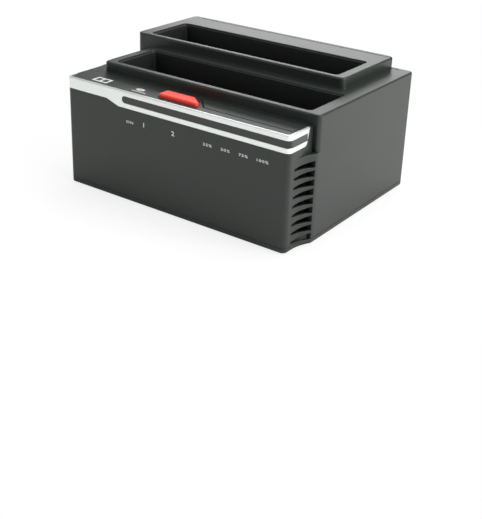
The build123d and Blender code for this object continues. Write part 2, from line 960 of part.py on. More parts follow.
def port_openings(front, back):
    """Cut the openings for the switch and the three receptacles through a wall."""
    half_width = switch_body_width / 2 + port_gap
    half_height = switch_body_height / 2 + port_gap
    block(
        (power_x - half_width, front, power_z - half_height),
        (power_x + half_width, back, power_z + half_height),
        Mode.SUBTRACT,
    )
    half_width = jack_width / 2 + port_gap
    block(
        (jack_x - half_width, front, board_top_z - port_gap),
        (jack_x + half_width, back, jack_top_z + port_gap),
        Mode.SUBTRACT,
    )
    half_width = data_width / 2 + port_gap
    block(
        (data_x - half_width, front, board_top_z - port_gap),
        (data_x + half_width, back, board_top_z + data_height + port_gap),
        Mode.SUBTRACT,
    )
    tube_rise = link_mouth_height / 2 + link_sheet
    arm = link_mouth_width / 2 + link_sheet + link_ear + link_gap
    block(
        (link_x - arm, front, link_z - tube_rise - link_gap),
        (link_x + arm, back, link_z + tube_rise + link_gap),
        Mode.SUBTRACT,
    )
    middle = link_lip_width / 2 + link_gap
    block(
        (link_x - middle, front, link_z - tube_rise - link_lip - link_gap),
        (link_x + middle, back, link_z + tube_rise + link_tab + link_gap),
        Mode.SUBTRACT,
    )


# Connector panel behind the red plate
plate_back_y = back_y - plate_thickness
with BuildPart() as connector_panel:
    block(
        (cover_left_x + half_seam, back_y - panel_thickness, panel_low_z + half_seam),
        (cover_right_x - half_seam, back_y, panel_high_z - half_seam),
    )
    lip_front_y = back_y - lap_inset - lap_thickness
    lip_back_y = back_y - lap_inset
    block(
        (cover_left_x - lap_depth, lip_front_y, panel_low_z + lap_depth),
        (cover_left_x + half_seam + lap_root, lip_back_y, panel_high_z - lap_depth),
    )
    block(
        (cover_right_x - half_seam - lap_root, lip_front_y, panel_low_z + lap_depth),
        (cover_right_x + lap_depth, lip_back_y, panel_high_z - lap_depth),
    )
    block(
        (cover_left_x + lap_depth, lip_front_y, panel_high_z - half_seam - lap_root),
        (cover_right_x - lap_depth, lip_back_y, panel_high_z + lap_depth),
    )
    block(
        (cover_left_x + lap_depth, lip_front_y, panel_low_z - lap_depth),
        (cover_right_x - lap_depth, lip_back_y, panel_low_z + half_seam + lap_root),
    )
    block(
        (plate_left_x, plate_back_y, panel_low_z),
        (plate_right_x, back_y + overrun, panel_high_z),
        Mode.SUBTRACT,
    )
    port_openings(lip_front_y - overrun, back_y + overrun)
save(connector_panel, "connector_panel")

with BuildPart() as port_plate:
    block(
        (plate_left_x, plate_back_y, panel_low_z + half_seam),
        (plate_right_x, back_y, panel_high_z - half_seam),
    )
    port_openings(plate_back_y - overrun, back_y + overrun)
save(port_plate, "port_plate")

# Base tray
with BuildPart() as base_tray:
    extrude(body_outline(0), amount=floor_thickness)
    fillet(base_tray.faces().sort_by(Axis.Z)[0].edges(), tray_edge)
    rim_inset = wall + tray_rim_gap
    extrude(body_outline(rim_inset), amount=floor_thickness + tray_rim_height)
    extrude(
        body_outline(rim_inset + tray_rim_thickness).moved(Location((0, 0, floor_thickness))),
        amount=tray_rim_height + overrun,
        mode=Mode.SUBTRACT,
    )
    block(
        (left_x, back_y - post_back, floor_z),
        (right_x, back_y, floor_z + tray_rim_height + overrun),
        Mode.SUBTRACT,
    )
    block(
        (cover_left_x + half_seam, back_y - wall, base_z + tray_edge),
        (cover_right_x - half_seam, back_y, panel_low_z - half_seam),
    )
    for x, y, top in case_posts:
        post(x, y, floor_z, post_low_z, tray_boss_radius)
    for x, y in bezel_posts:
        post(x, y, floor_z, post_low_z, tray_boss_radius)
    for x, y in standoffs:
        post(x, y, floor_z, board_low_z, standoff_radius)
        post(x, y, board_top_z - screw_length, board_low_z, pilot_radius, Mode.SUBTRACT)
    for x, y in [place[:2] for place in case_posts] + list(bezel_posts):
        post(x, y, base_z - overrun, case_seat_z, case_head_radius + case_head_gap, Mode.SUBTRACT)
        post(x, y, case_seat_z, post_low_z, pilot_radius, Mode.SUBTRACT)
    for x, y in feet:
        post(x, y, base_z - overrun, foot_thickness, foot_radius, Mode.SUBTRACT)
    with BuildSketch(Plane.XY.offset(base_z)) as slots:
        with GridLocations(tray_slot_pitch, 0, tray_slot_count, 1):
            SlotOverall(tray_slot_length, tray_slot_width, rotation=90)
    extrude(slots.sketch, amount=floor_thickness, mode=Mode.SUBTRACT)
save(base_tray, "base_tray")

# Liners of the two bays, each with a window in its floor for the drive receptacle
for name, x, y, top in bays:
    back = y + bay_depth / 2
    socket_x = x - socket_shift
    socket_y = back - socket_setback
    with BuildPart() as liner:
        outside = rounded_opening(
            x, y, liner_low_z, bay_width + 2 * liner_wall, bay_depth + 2 * liner_wall, bay_radius + liner_wall
        )
        extrude(outside, amount=top - deck_thickness - liner_low_z)
        for side in (-1, 1):
            ear_x = x + side * ear_spread
            block(
                (ear_x - ear_width / 2, back, ear_z - ear_thickness),
                (ear_x + ear_width / 2, back + liner_wall + ear_reach, ear_z),
            )
        inside = rounded_opening(x, y, liner_top_z, bay_width, bay_depth, bay_radius)
        extrude(inside, amount=tier_z, mode=Mode.SUBTRACT)
        for side in (-1, 1):
            end_x = x + side * bay_width / 2
            inner_x = end_x - side * guide_rib
            block(
                (min(end_x, inner_x), y - guide_rib_width / 2, liner_low_z),
                (max(end_x, inner_x), y + guide_rib_width / 2, top - deck_thickness - guide_rib_drop),
            )
            ear_y = back + liner_wall + ear_reach / 2
            ear_x = x + side * ear_spread
            post(ear_x, ear_y, ear_z - ear_thickness, ear_z, pilot_radius, Mode.SUBTRACT)
        half_length = socket_length / 2 + socket_window_gap
        half_depth = socket_depth / 2 + socket_window_gap
        block(
            (socket_x - half_length, socket_y - half_depth, liner_low_z),
            (socket_x + half_length, socket_y + half_depth, liner_top_z),
            Mode.SUBTRACT,
        )
    save(liner, f"{name}_bay_liner")

    # Drive receptacle, with a slot for the signal tongue and one for the power tongue
    socket_top_z = board_top_z + socket_height
    slot_low_z = socket_top_z - socket_slot_depth
    slots_length = signal_slot + slot_bridge + power_slot
    signal_x = socket_x - slots_length / 2
    power_slot_x = signal_x + signal_slot + slot_bridge
    slot_back_y = socket_y + socket_slot_width / 2
    with BuildPart() as socket:
        block(
            (socket_x - socket_length / 2, socket_y - socket_depth / 2, board_top_z),
            (socket_x + socket_length / 2, socket_y + socket_depth / 2, socket_top_z),
        )
        for start, length in ((signal_x, signal_slot), (power_slot_x, power_slot)):
            block(
                (start, socket_y - socket_slot_width / 2, slot_low_z),
                (start + length, slot_back_y, socket_top_z),
                Mode.SUBTRACT,
            )
            block(
                (start, socket_y - socket_slot_width / 2 - slot_key, slot_low_z),
                (start + slot_key, slot_back_y, socket_top_z),
                Mode.SUBTRACT,
            )
    save(socket, f"{name}_drive_socket")

    with BuildPart() as contacts:
        for start, length, count in (
            (signal_x, signal_slot, signal_contacts),
            (power_slot_x, power_slot, power_contacts),
        ):
            first = start + (length - (count - 1) * contact_pitch) / 2
            for number in range(count):
                contact_x = first + number * contact_pitch
                block(
                    (contact_x - contact_width / 2, slot_back_y - contact_thickness, slot_low_z),
                    (contact_x + contact_width / 2, slot_back_y, slot_low_z + contact_length),
                )
    save(contacts, f"{name}_socket_contacts")

# Main board
with BuildPart() as main_board:
    block((board_left_x, board_front_y, board_low_z), (board_right_x, board_back_y, board_top_z))
    for x, y in standoffs:
        post(x, y, board_low_z, board_top_z, pilot_radius, Mode.SUBTRACT)
save(main_board, "main_board")


def chip(x, y):
    """The body of a flat chip."""
    low = board_top_z + chip_lift
    half = chip_size / 2
    block((x - half, y - half, low), (x + half, y + half, low + chip_thickness))


chip_places = ((left_x + bridge_chip_place, chip_y), (left_x + copy_chip_place, chip_y))
for name, place in zip(("bridge_chip", "copy_chip"), chip_places):
    with BuildPart() as chip_body:
        chip(*place)
        chamfer(chip_body.faces().sort_by(Axis.Z)[-1].edges(), chip_edge)
    save(chip_body, name)

with BuildPart() as chip_leads:
    for x, y in chip_places:
        half = chip_size / 2
        for number in range(lead_count):
            shift = (number - (lead_count - 1) / 2) * lead_pitch
            for side in (-1, 1):
                near = half
                far = half + lead_reach
                low, high = board_top_z, board_top_z + lead_thickness
                across = sorted((side * near, side * far))
                along = (shift - lead_width / 2, shift + lead_width / 2)
                block((x + across[0], y + along[0], low), (x + across[1], y + along[1], high))
                block((x + along[0], y + across[0], low), (x + along[1], y + across[1], high))
save(chip_leads, "chip_leads")

with BuildPart() as capacitors:
    for number in range(can_count):
        x = left_x + can_place + number * can_pitch
        block(
            (x - can_radius, mid_y - can_radius, board_top_z),
            (x + can_radius, mid_y + can_radius, board_top_z + can_base),
        )
        post(x, mid_y, board_top_z + can_base, board_top_z + can_base + can_height, can_radius)
    fillet(capacitors.faces().group_by(Axis.Z)[-1].edges(), can_edge)
save(capacitors, "capacitors")

with BuildPart() as coils:
    for number in range(coil_count):
        x = left_x + coil_place + number * coil_pitch
        block(
            (x - coil_size / 2, mid_y - coil_size / 2, board_top_z),
            (x + coil_size / 2, mid_y + coil_size / 2, board_top_z + coil_height),
        )
    fillet(coils.faces().group_by(Axis.Z)[-1].edges(), coil_edge)
save(coils, "inductors")

with BuildPart() as crystal:
    crystal_x = left_x + crystal_place
    block(
        (crystal_x - crystal_length / 2, mid_y - crystal_width / 2, board_top_z),
        (crystal_x + crystal_length / 2, mid_y + crystal_width / 2, board_top_z + crystal_height),
    )
    fillet(crystal.faces().group_by(Axis.Z)[-1].edges(), crystal_edge)
save(crystal, "crystal")

# Square data receptacle: sheet shell, insulator with its tongue, contacts
data_front_y = back_y - data_depth
data_low_z = board_top_z
data_high_z = board_top_z + data_height
half_data = data_width / 2
core_back_y = back_y - data_mouth_depth
with BuildPart() as data_port_shell:
    block((data_x - half_data, data_front_y, data_low_z), (data_x + half_data, back_y, data_high_z))
    block(
        (data_x - half_data + data_sheet, data_front_y, data_low_z + data_sheet),
        (data_x + half_data - data_sheet, back_y - data_sheet, data_high_z - data_sheet),
        Mode.SUBTRACT,
    )
    with BuildSketch(Plane.XZ.offset(-(back_y + overrun))) as mouth:
        with Locations((data_x, data_z)):
            Rectangle(data_mouth_width, data_mouth_height)
        chamfer(mouth.vertices().group_by(Axis.Y)[-1], data_mouth_cut)
    extrude(mouth.sketch, amount=2 * overrun, mode=Mode.SUBTRACT)
    for side in (-1, 1):
        x = data_x + side * data_contact_pitch
        back = back_y - data_window_setback
        block(
            (x - data_window / 2, back - data_window_length, data_high_z - data_sheet),
            (x + data_window / 2, back, data_high_z),
            Mode.SUBTRACT,
        )
save(data_port_shell, "data_port_shell")

tongue_z = data_z + data_tongue_lift
tongue_back_y = back_y - data_tongue_setback
with BuildPart() as data_port_core:
    block(
        (data_x - half_data + data_sheet, data_front_y, data_low_z + data_sheet),
        (data_x + half_data - data_sheet, core_back_y, data_high_z - data_sheet),
    )
    block(
        (data_x - data_tongue_width / 2, core_back_y, tongue_z - data_tongue_height / 2),
        (data_x + data_tongue_width / 2, tongue_back_y, tongue_z + data_tongue_height / 2),
    )
save(data_port_core, "data_port_core")

with BuildPart() as data_port_contacts:
    for side in (-1, 1):
        x = data_x + side * data_contact_pitch / 2
        for face in (-1, 1):
            seat = tongue_z + face * data_tongue_height / 2
            far = seat + face * data_contact_thickness
            block(
                (x - data_contact_width / 2, core_back_y, min(seat, far)),
                (x + data_contact_width / 2, core_back_y + data_contact_length, max(seat, far)),
            )
save(data_port_contacts, "data_port_contacts")

# Low voltage power jack: body, centre pin, spring leaf
jack_front_y = back_y - jack_depth
bore_front_y = back_y - jack_bore_depth
leaf_low_z = jack_bore_z - jack_bore_radius - jack_leaf_sink
with BuildPart() as power_jack_body:
    block(
        (jack_x - jack_width / 2, jack_front_y, board_top_z),
        (jack_x + jack_width / 2, back_y, jack_top_z),
    )
    rod(jack_x, jack_bore_z, bore_front_y, back_y, jack_bore_radius, Mode.SUBTRACT)
    block(
        (jack_x - jack_leaf_width / 2, bore_front_y, leaf_low_z),
        (jack_x + jack_leaf_width / 2, bore_front_y + jack_leaf_length, jack_bore_z),
        Mode.SUBTRACT,
    )
save(power_jack_body, "power_jack_body")

with BuildPart() as power_jack_pin:
    pin_back_y = bore_front_y + jack_pin_length
    rod(jack_x, jack_bore_z, bore_front_y, pin_back_y, jack_pin_radius)
    chamfer(power_jack_pin.faces().sort_by(Axis.Y)[-1].edges(), jack_pin_radius / 2)
save(power_jack_pin, "power_jack_pin")

with BuildPart() as power_jack_leaf:
    block(
        (jack_x - jack_leaf_width / 2, bore_front_y, leaf_low_z),
        (jack_x + jack_leaf_width / 2, bore_front_y + jack_leaf_length, leaf_low_z + jack_leaf_thickness),
    )
save(power_jack_leaf, "power_jack_leaf")

# Flat receptacle for an outside drive: sheet shell with flared lips, insulator, contacts
link_back_y = back_y - plate_thickness - link_setback
link_front_y = link_back_y - link_depth
half_mouth = link_mouth_width / 2
mouth_rise = link_mouth_height / 2
tube_half = half_mouth + link_sheet
tube_rise = mouth_rise + link_sheet
link_core_back_y = link_front_y + link_core_depth
lip_y = link_back_y - link_sheet
with BuildPart() as link_port_shell:
    block(
        (link_x - tube_half, link_front_y, link_z - tube_rise),
        (link_x + tube_half, link_back_y, link_z + tube_rise),
    )
    block(
        (link_x - tube_half - link_ear, lip_y, link_z - link_ear_height / 2),
        (link_x + tube_half + link_ear, link_back_y, link_z + link_ear_height / 2),
    )
    block(
        (link_x - link_lip_width / 2, lip_y, link_z - tube_rise - link_lip),
        (link_x + link_lip_width / 2, link_back_y, link_z),
    )
    for side in (-1, 1):
        x = link_x + side * link_tab_spread
        block(
            (x - link_tab_width / 2, lip_y, link_z),
            (x + link_tab_width / 2, link_back_y, link_z + tube_rise + link_tab),
        )
    block(
        (link_x - half_mouth, link_front_y, link_z - mouth_rise),
        (link_x + half_mouth, link_back_y, link_z + mouth_rise),
        Mode.SUBTRACT,
    )
save(link_port_shell, "link_port_shell")

with BuildPart() as link_port_core:
    block(
        (link_x - half_mouth, link_front_y, link_z - mouth_rise),
        (link_x + half_mouth, link_core_back_y, link_z + mouth_rise),
    )
    block(
        (link_x - link_tongue_width / 2, link_core_back_y, link_z - link_tongue_height / 2),
        (
            link_x + link_tongue_width / 2,
            link_core_back_y + link_tongue_length,
            link_z + link_tongue_height / 2,
        ),
    )
save(link_port_core, "link_port_core")

with BuildPart() as link_port_base:
    block(
        (link_x - link_base_width / 2, link_front_y, board_top_z),
        (link_x + link_base_width / 2, link_front_y + link_base_depth, link_z - tube_rise),
    )
save(link_port_base, "link_port_base")

with BuildPart() as link_port_contacts:
    for number in range(link_contact_count):
        x = link_x + (number - (link_contact_count - 1) / 2) * link_contact_pitch
        seat = link_z - link_tongue_height / 2
        block(
            (x - link_contact_width / 2, link_core_back_y, seat - link_contact_thickness),
            (x + link_contact_width / 2, link_core_back_y + link_contact_length, seat),
        )
save(link_port_contacts, "link_port_contacts")

# Power switch: housing, rocker on its pivots, terminals, leads to the board
body_half_width = switch_body_width / 2
body_half_height = switch_body_height / 2
cavity_front_y = switch_back_y + switch_back_wall
with BuildPart() as switch_housing:
    block(
        (power_x - frame_width / 2, back_y, power_z - frame_height / 2),
        (power_x + frame_width / 2, frame_face_y, power_z + frame_height / 2),
    )
    fillet(switch_housing.faces().sort_by(Axis.Y)[-1].edges(), frame_edge)
    block(
        (power_x - body_half_width, switch_back_y, power_z - body_half_height),
        (power_x + body_half_width, back_y, power_z + body_half_height),
    )
    snap_back_y = back_y - panel_thickness - snap_gap
    block(
        (power_x - body_half_width - snap_reach, snap_back_y - snap_depth, power_z - snap_length / 2),
        (power_x + body_half_width + snap_reach, snap_back_y, power_z + snap_length / 2),
    )
    block(
        (power_x - window_width / 2, cavity_front_y, power_z - window_height / 2),
        (power_x + window_width / 2, frame_face_y, power_z + window_height / 2),
        Mode.SUBTRACT,
    )
    pin_half = rocker_width / 2 + pivot_length + pivot_gap
    with Locations(Plane(origin=(power_x - pin_half, pivot_y, power_z), z_dir=(1, 0, 0))):
        Cylinder(
            pivot_radius + pivot_gap,
            2 * pin_half,
            align=(Align.CENTER, Align.CENTER, Align.MIN),
            mode=Mode.SUBTRACT,
        )
    for side in (-1, 1):
        z = power_z + side * terminal_pitch / 2
        block(
            (power_x - terminal_width / 2, switch_back_y, z - terminal_thickness / 2),
            (power_x + terminal_width / 2, switch_back_y + terminal_inside, z + terminal_thickness / 2),
            Mode.SUBTRACT,
        )
save(switch_housing, "switch_housing")

turn = radians(rocker_tilt)
rocker_plane = Plane(
    origin=(power_x - rocker_width / 2, pivot_y, power_z),
    x_dir=(0, cos(turn), sin(turn)),
    z_dir=(1, 0, 0),
)
with BuildPart() as switch_rocker:
    with BuildSketch(rocker_plane) as rocker_side:
        with BuildLine():
            ThreePointArc((rocker_crown, end_rise), (rocker_valley, 0), (rocker_crown, -end_rise))
            ThreePointArc((rocker_crown, -end_rise), (0, -rocker_radius), (-rocker_back, -back_rise))
            Line((-rocker_back, -back_rise), (-rocker_back, back_rise))
            ThreePointArc((-rocker_back, back_rise), (0, rocker_radius), (rocker_crown, end_rise))
        make_face()
        with Locations((-rocker_back, 0)):
            Rectangle(rocker_stem_length, rocker_stem, align=(Align.MAX, Align.CENTER))
    extrude(rocker_side.sketch, amount=rocker_width)
    pin_half = rocker_width / 2 + pivot_length
    with Locations(Plane(origin=(power_x - pin_half, pivot_y, power_z), z_dir=(1, 0, 0))):
        Cylinder(pivot_radius, 2 * pin_half, align=(Align.CENTER, Align.CENTER, Align.MIN))
save(switch_rocker, "switch_rocker")

with BuildPart() as switch_terminals:
    for side in (-1, 1):
        z = power_z + side * terminal_pitch / 2
        block(
            (power_x - terminal_width / 2, terminal_end_y, z - terminal_thickness / 2),
            (power_x + terminal_width / 2, switch_back_y + terminal_inside, z + terminal_thickness / 2),
        )
save(switch_terminals, "switch_terminals")

with BuildPart() as switch_leads:
    for side in (-1, 1):
        x = power_x + side * lead_spread
        z = power_z + side * terminal_pitch / 2
        drop_y = terminal_end_y - lead_run - (side + 1) * lead_radius
        bend = 2 * lead_radius
        with BuildLine() as route:
            FilletPolyline(
                (x, terminal_end_y, z),
                (x, drop_y, z),
                (x, drop_y, board_top_z),
                radius=bend,
            )
        with BuildSketch(Plane(origin=(x, terminal_end_y, z), z_dir=(0, -1, 0))) as wire:
            Circle(lead_radius)
        sweep(wire.sketch, path=route.line)
save(switch_leads, "switch_leads")

# Indicator board, lamps and the switch under the copy button
with BuildPart() as front_board:
    block(
        (left_x + front_board_left, front_y + front_board_front, front_board_low_z),
        (right_x - front_board_right, front_y + front_board_front + front_board_depth, front_board_top_z),
    )
    for x, y in front_boss_places:
        post(x, y, front_board_low_z, front_board_top_z, pilot_radius, Mode.SUBTRACT)
save(front_board, "front_board")

with BuildPart() as indicator_lamps:
    for x in lamp_places:
        rod(x, strip_z, lamp_tip_y + lamp_radius, lamp_back_y, lamp_radius)
        rod(x, strip_z, lamp_back_y - lamp_rim_length, lamp_back_y, lamp_radius + lamp_rim)
        with Locations((x, lamp_tip_y + lamp_radius, strip_z)):
            Sphere(lamp_radius)
save(indicator_lamps, "indicator_lamps")

with BuildPart() as lamp_wires:
    half_wire = lamp_wire / 2
    for place in lamp_places:
        for side in (-1, 1):
            x = place + side * lamp_wire_pitch / 2
            block(
                (x - half_wire, lamp_back_y, strip_z - half_wire),
                (x + half_wire, wire_back_y, strip_z + half_wire),
            )
            block(
                (x - half_wire, wire_back_y - lamp_wire, front_board_top_z),
                (x + half_wire, wire_back_y, strip_z),
            )
save(lamp_wires, "lamp_wires")

bore_low_z = push_top_z - plunger_inside - button_travel - plunger_gap
with BuildPart() as push_switch:
    block(
        (button_x - switch_size / 2, push_y - switch_size / 2, front_board_top_z),
        (button_x + switch_size / 2, push_y + switch_size / 2, push_top_z),
    )
    post(button_x, push_y, bore_low_z, push_top_z, plunger_radius + plunger_gap, Mode.SUBTRACT)
save(push_switch, "push_switch")

with BuildPart() as switch_plunger:
    post(button_x, push_y, push_top_z - plunger_inside, plunger_top_z, plunger_radius)
save(switch_plunger, "switch_plunger")

# Copy button: a hollow cap with hooks under the deck and a stem down to the plunger
with BuildPart() as copy_button:
    extrude(button_outline(under_deck_z, 0), amount=deck_thickness + button_stand)
    fillet(copy_button.faces().sort_by(Axis.Z)[-1].edges(), button_edge)
    roof_z = button_top_z - button_wall
    extrude(button_outline(under_deck_z, -button_wall), amount=roof_z - under_deck_z, mode=Mode.SUBTRACT)
    post(button_x, push_y, plunger_top_z, roof_z, stem_radius)
    hook_high_z = under_deck_z - hook_gap
    hook_low_z = hook_high_z - hook_height
    for side in (-1, 1):
        x = button_left_x + button_wall + hook_spread + side * hook_length / 2 + side * hook_gap
        block(
            (x - hook_length / 2, button_back_y - button_wall, hook_low_z),
            (x + hook_length / 2, button_back_y, under_deck_z),
        )
        block(
            (x - hook_length / 2, button_back_y - button_wall, hook_low_z),
            (x + hook_length / 2, button_back_y + hook_reach, hook_high_z),
        )
save(copy_button, "copy_button")

# Ribbon between the two boards, with a socket at each end
ribbon_low_z = board_top_z + ribbon_socket_height - ribbon_entry
ribbon_high_z = front_board_low_z - ribbon_socket_height + ribbon_entry
with BuildPart() as ribbon:
    block(
        (ribbon_x - ribbon_width / 2, ribbon_y - ribbon_thickness / 2, ribbon_low_z),
        (ribbon_x + ribbon_width / 2, ribbon_y + ribbon_thickness / 2, ribbon_high_z),
    )
save(ribbon, "link_ribbon")

with BuildPart() as ribbon_sockets:
    for low in (board_top_z, front_board_low_z - ribbon_socket_height):
        block(
            (ribbon_x - ribbon_socket_length / 2, ribbon_y - ribbon_socket_depth / 2, low),
            (
                ribbon_x + ribbon_socket_length / 2,
                ribbon_y + ribbon_socket_depth / 2,
                low + ribbon_socket_height,
            ),
        )
    add(ribbon.part, mode=Mode.SUBTRACT)
save(ribbon_sockets, "ribbon_sockets")

# Feet and screws
with BuildPart() as rubber_feet:
    for x, y in feet:
        post(x, y, 0, foot_thickness, foot_radius)
    fillet(rubber_feet.faces().group_by(Axis.Z)[0].edges(), foot_edge)
save(rubber_feet, "rubber_feet")

with BuildPart() as case_screws:
    for x, y in [place[:2] for place in case_posts] + list(bezel_posts):
        screw(x, y, case_seat_z, 1, case_screw_length, case_head_radius)
save(case_screws, "case_screws")

with BuildPart() as board_screws:
    for x, y in standoffs:
        screw(x, y, board_top_z, -1, screw_length, screw_head_radius)
save(board_screws, "board_screws")

with BuildPart() as liner_screws:
    for name, x, y, top in bays:
        for side in (-1, 1):
            ear_y = y + bay_depth / 2 + liner_wall + ear_reach / 2
            screw(x + side * ear_spread, ear_y, ear_z - ear_thickness, 1, screw_length, screw_head_radius)
save(liner_screws, "liner_screws")

with BuildPart() as front_board_screws:
    for x, y in front_boss_places:
        screw(x, y, front_board_low_z, 1, screw_length, screw_head_radius)
save(front_board_screws, "front_board_screws")
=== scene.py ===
import json
import math

import bpy
from mathutils import Matrix, Vector


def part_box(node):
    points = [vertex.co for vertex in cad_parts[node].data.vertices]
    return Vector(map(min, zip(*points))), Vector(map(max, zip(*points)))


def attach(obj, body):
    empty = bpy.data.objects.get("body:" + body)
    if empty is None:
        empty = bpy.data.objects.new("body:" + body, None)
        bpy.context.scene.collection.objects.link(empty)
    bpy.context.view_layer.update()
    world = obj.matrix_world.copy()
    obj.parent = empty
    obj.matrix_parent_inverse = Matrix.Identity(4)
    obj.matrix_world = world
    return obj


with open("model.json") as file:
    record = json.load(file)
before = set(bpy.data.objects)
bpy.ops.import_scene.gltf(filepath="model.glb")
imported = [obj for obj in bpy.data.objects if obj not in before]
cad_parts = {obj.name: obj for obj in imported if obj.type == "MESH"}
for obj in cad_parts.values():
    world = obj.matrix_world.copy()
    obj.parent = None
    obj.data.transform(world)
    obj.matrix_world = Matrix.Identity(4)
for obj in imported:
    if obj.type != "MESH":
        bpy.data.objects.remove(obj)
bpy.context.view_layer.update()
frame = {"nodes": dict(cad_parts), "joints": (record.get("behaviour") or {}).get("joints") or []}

bl_info = {
    "name": "Two-bay drive dock finishes",
    "version": (1, 0, 0),
    "blender": (4, 5, 0),
    "location": "View3D > Sidebar > Drive Dock",
    "description": "Dresses the packed drive dock with its finishes, printed marks and studio",
    "category": "Object",
}

MM = 0.001
# How many times longer than wide the drawn lines of a metal are
LINE_STRETCH = 12
# Ink of the printed words and of the printed signs, and a capital's share of the type size
INK_THICKNESS = 0.012 * MM
SIGN_THICKNESS = 0.02 * MM
CAPITAL_SHARE = 0.7
# A Mix node's colour sockets by number, because its other kinds share their names
MIX_FACTOR, MIX_A, MIX_B, MIX_RESULT = 0, 6, 7, 2
# The studio, in metres and watts: its floor's side, and each softbox's name, place, side and power
FLOOR_SIDE = 6
SOFTBOXES = (
    ("top_softbox", (0.1, 0.25, 0.9), 0.8, 6.2),
    ("right_softbox", (0.95, 0.1, 0.35), 0.6, 9.0),
    ("front_softbox", (-0.4, -0.9, 0.5), 0.6, 1.4),
    ("back_softbox", (-0.55, 0.95, 0.38), 0.5, 2.2),
)


def linear(hex_colour):
    """An sRGB hex colour as linear red, green and blue."""
    channels = [int(hex_colour[i : i + 2], 16) / 255 for i in (1, 3, 5)]
    return tuple(c / 12.92 if c <= 0.04045 else ((c + 0.055) / 1.055) ** 2.4 for c in channels)


def add_node(tree, kind, links=None, **settings):
    """Add a node with its settings, and link the named inputs to other nodes' outputs."""
    node = tree.nodes.new(kind)
    for key, value in settings.items():
        if key in node.inputs:
            node.inputs[key].default_value = value
        else:
            setattr(node, key, value)
    for key, source in (links or {}).items():
        tree.links.new(source, node.inputs[key])
    return node


def new_material(name):
    """An empty material with its Principled shader and object coordinates."""
    material = bpy.data.materials.new(name)
    material.use_nodes = True
    tree = material.node_tree
    shader = tree.nodes["Principled BSDF"]
    place = add_node(tree, "ShaderNodeTexCoord")
    return material, tree, shader, place.outputs["Object"]


def moulded_plastic(
    name, colour, roughness, grain_mm=0.3, grain_height_mm=0.02, edge_mm=0.3, gloss=0.45
):
    """A moulded plastic: spark-eroded grain, faint flow mottling and softened edges."""
    material, tree, shader, place = new_material(name)
    # Mould grain. Real grain is about 0.1 mm and is drawn coarser so that it shows
    grain = add_node(
        tree, "ShaderNodeTexNoise", {"Vector": place}, Scale=1 / (grain_mm * MM), Detail=2.0
    )
    # Flow mottling over about 30 mm keeps large faces from looking flat
    flow = add_node(tree, "ShaderNodeTexNoise", {"Vector": place}, Scale=1 / (30 * MM), Detail=3.0)
    shade = add_node(tree, "ShaderNodeMapRange", {"Value": flow.outputs["Fac"]})
    shade.inputs["To Min"].default_value = 0.94
    shade.inputs["To Max"].default_value = 1.06
    tint = add_node(tree, "ShaderNodeMix", data_type="RGBA", blend_type="MULTIPLY")
    tint.inputs[MIX_FACTOR].default_value = 1.0
    tint.inputs[MIX_A].default_value = (*colour, 1.0)
    tree.links.new(shade.outputs["Result"], tint.inputs[MIX_B])
    tree.links.new(tint.outputs[MIX_RESULT], shader.inputs["Base Color"])
    rough = add_node(tree, "ShaderNodeMapRange", {"Value": grain.outputs["Fac"]})
    rough.inputs["To Min"].default_value = roughness - 0.06
    rough.inputs["To Max"].default_value = roughness + 0.06
    tree.links.new(rough.outputs["Result"], shader.inputs["Roughness"])
    edge = add_node(tree, "ShaderNodeBevel", samples=4, Radius=edge_mm * MM)
    bump = add_node(
        tree,
        "ShaderNodeBump",
        {"Height": grain.outputs["Fac"], "Normal": edge.outputs["Normal"]},
        Strength=0.5,
        Distance=grain_height_mm * MM,
    )
    tree.links.new(bump.outputs["Normal"], shader.inputs["Normal"])
    shader.inputs["Specular IOR Level"].default_value = gloss
    return material


def sheet_metal(name, colour, roughness, stroke_mm, edge_mm=0.1):
    """A plated sheet or turned metal: fine drawn lines along one way and a soft edge."""
    material, tree, shader, place = new_material(name)
    stretch = add_node(tree, "ShaderNodeMapping", {"Vector": place})
    stretch.inputs["Scale"].default_value = (1, LINE_STRETCH, LINE_STRETCH)
    lines = add_node(
        tree,
        "ShaderNodeTexNoise",
        {"Vector": stretch.outputs["Vector"]},
        Scale=1 / (stroke_mm * LINE_STRETCH * MM),
        Detail=3.0,
    )
    rough = add_node(tree, "ShaderNodeMapRange", {"Value": lines.outputs["Fac"]})
    rough.inputs["To Min"].default_value = roughness * 0.75
    rough.inputs["To Max"].default_value = roughness * 1.3
    tree.links.new(rough.outputs["Result"], shader.inputs["Roughness"])
    edge = add_node(tree, "ShaderNodeBevel", samples=4, Radius=edge_mm * MM)
    bump = add_node(
        tree,
        "ShaderNodeBump",
        {"Height": lines.outputs["Fac"], "Normal": edge.outputs["Normal"]},
        Strength=0.25,
        Distance=0.01 * MM,
    )
    tree.links.new(bump.outputs["Normal"], shader.inputs["Normal"])
    shader.inputs["Base Color"].default_value = (*colour, 1.0)
    shader.inputs["Metallic"].default_value = 1.0
    return material


def silver_painted_abs(colour):
    # Silver lacquer over ABS: metal flakes of about 0.05 mm, drawn at 0.15 mm, under clear gloss
    material, tree, shader, place = new_material("silver_lacquer_sprayed")
    flakes = add_node(tree, "ShaderNodeTexVoronoi", {"Vector": place}, Scale=1 / (0.15 * MM))
    level = add_node(tree, "ShaderNodeMapRange", {"Value": flakes.outputs["Distance"]})
    level.inputs["To Min"].default_value = 0.27
    level.inputs["To Max"].default_value = 0.31
    tree.links.new(level.outputs["Result"], shader.inputs["Roughness"])
    edge = add_node(tree, "ShaderNodeBevel", samples=6, Radius=0.35 * MM)
    tree.links.new(edge.outputs["Normal"], shader.inputs["Normal"])
    shader.inputs["Base Color"].default_value = (*colour, 1.0)
    shader.inputs["Metallic"].default_value = 0.65
    shader.inputs["Coat Weight"].default_value = 0.4
    shader.inputs["Coat Roughness"].default_value = 0.08
    return material


